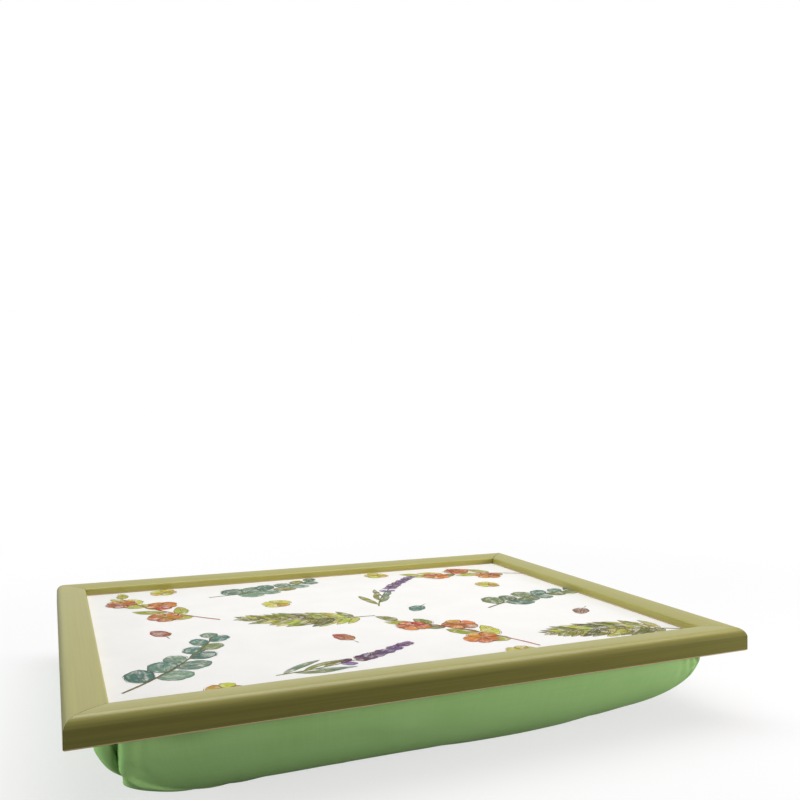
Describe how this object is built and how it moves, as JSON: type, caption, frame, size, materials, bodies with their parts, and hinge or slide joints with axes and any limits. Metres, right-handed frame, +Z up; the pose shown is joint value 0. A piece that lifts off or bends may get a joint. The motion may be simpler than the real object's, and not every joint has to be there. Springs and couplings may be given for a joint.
{
  "type": "lap tray",
  "caption": "Flat rectangular lap tray with a mitred, rounded olive-green frame round a recessed printed panel, on a low fabric bead cushion with tucked corners.",
  "frame": {"origin": "under the middle of the tray, on the flat that the cushion stands on", "axes": "+X along the tray's length, to the right of someone using it; +Y towards the back; +Z up"},
  "size_m": [0.43, 0.33, 0.06],
  "materials": {
    "olive_paint": "satin olive-green paint on wood",
    "fibreboard": "raw medium-density fibreboard",
    "print": "printed paper",
    "film": "clear satin laminate film",
    "hardboard": "raw hardboard",
    "steel": "bright zinc-plated steel",
    "cover_cloth": "fine plain-woven sage-green cloth",
    "liner_cloth": "white non-woven cloth",
    "beads": "expanded polystyrene beads"
  },
  "bodies": {
    "root": {"front_rail": "olive_paint", "right_rail": "olive_paint", "back_rail": "olive_paint", "left_rail": "olive_paint", "front_left_corner_nails": "steel", "front_right_corner_nails": "steel", "back_right_corner_nails": "steel", "back_left_corner_nails": "steel", "front_board_points": "steel", "right_board_points": "steel", "back_board_points": "steel", "left_board_points": "steel", "tray_board": "fibreboard", "printed_sheet": "print", "clear_laminate": "film", "base_board": "hardboard", "front_hem_staples": "steel", "right_hem_staples": "steel", "back_hem_staples": "steel", "left_hem_staples": "steel", "cushion_cover": "cover_cloth", "liner_pouch": "liner_cloth", "liner_panel": "liner_cloth", "bead_filling": "beads"}
  },
  "joints": []
}
